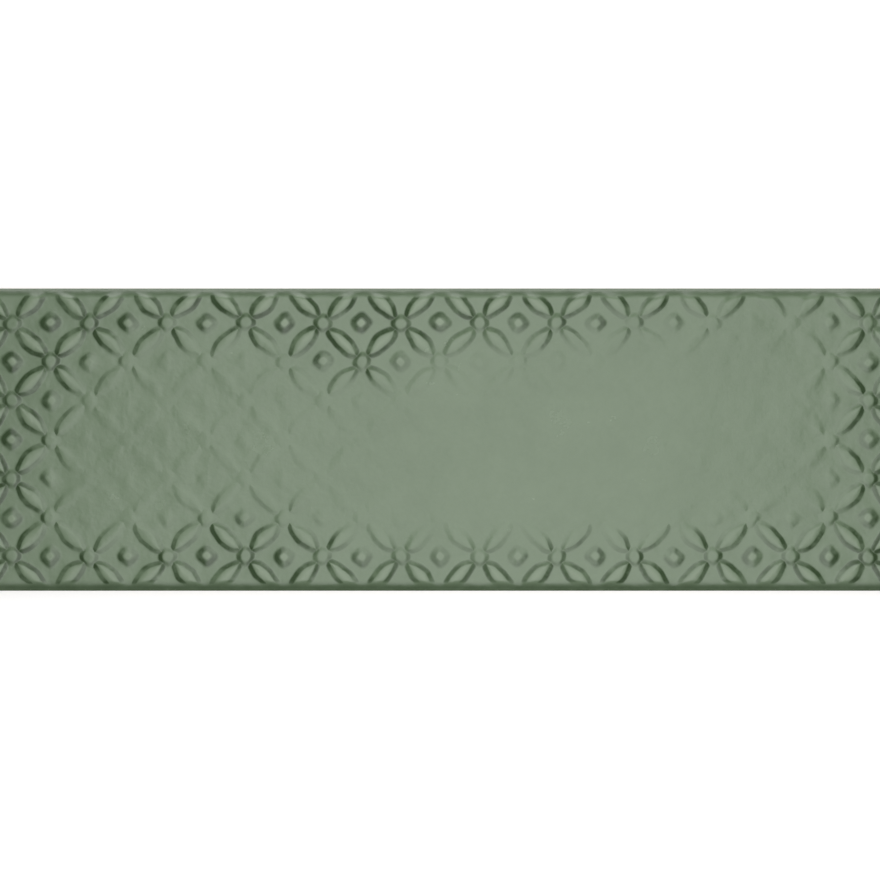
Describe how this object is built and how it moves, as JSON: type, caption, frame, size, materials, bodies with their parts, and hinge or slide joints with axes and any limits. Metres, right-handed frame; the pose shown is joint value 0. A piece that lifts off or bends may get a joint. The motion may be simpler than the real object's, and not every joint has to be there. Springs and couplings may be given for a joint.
{
  "type": "patterned wall tile",
  "caption": "Flat rectangular glazed wall tile with a raised relief of interlaced circles that wears away to a smooth middle, and a keyed back.",
  "frame": {"origin": "centre of the tile's back, on the plane it lies on", "axes": "+X along the tile's length, +Y across its width, +Z out of the glazed face"},
  "size_m": [0.2, 0.065, 0.0088],
  "materials": {
    "glaze": "gloss"
  },
  "bodies": {
    "root": {"tile": "glaze"}
  },
  "joints": []
}
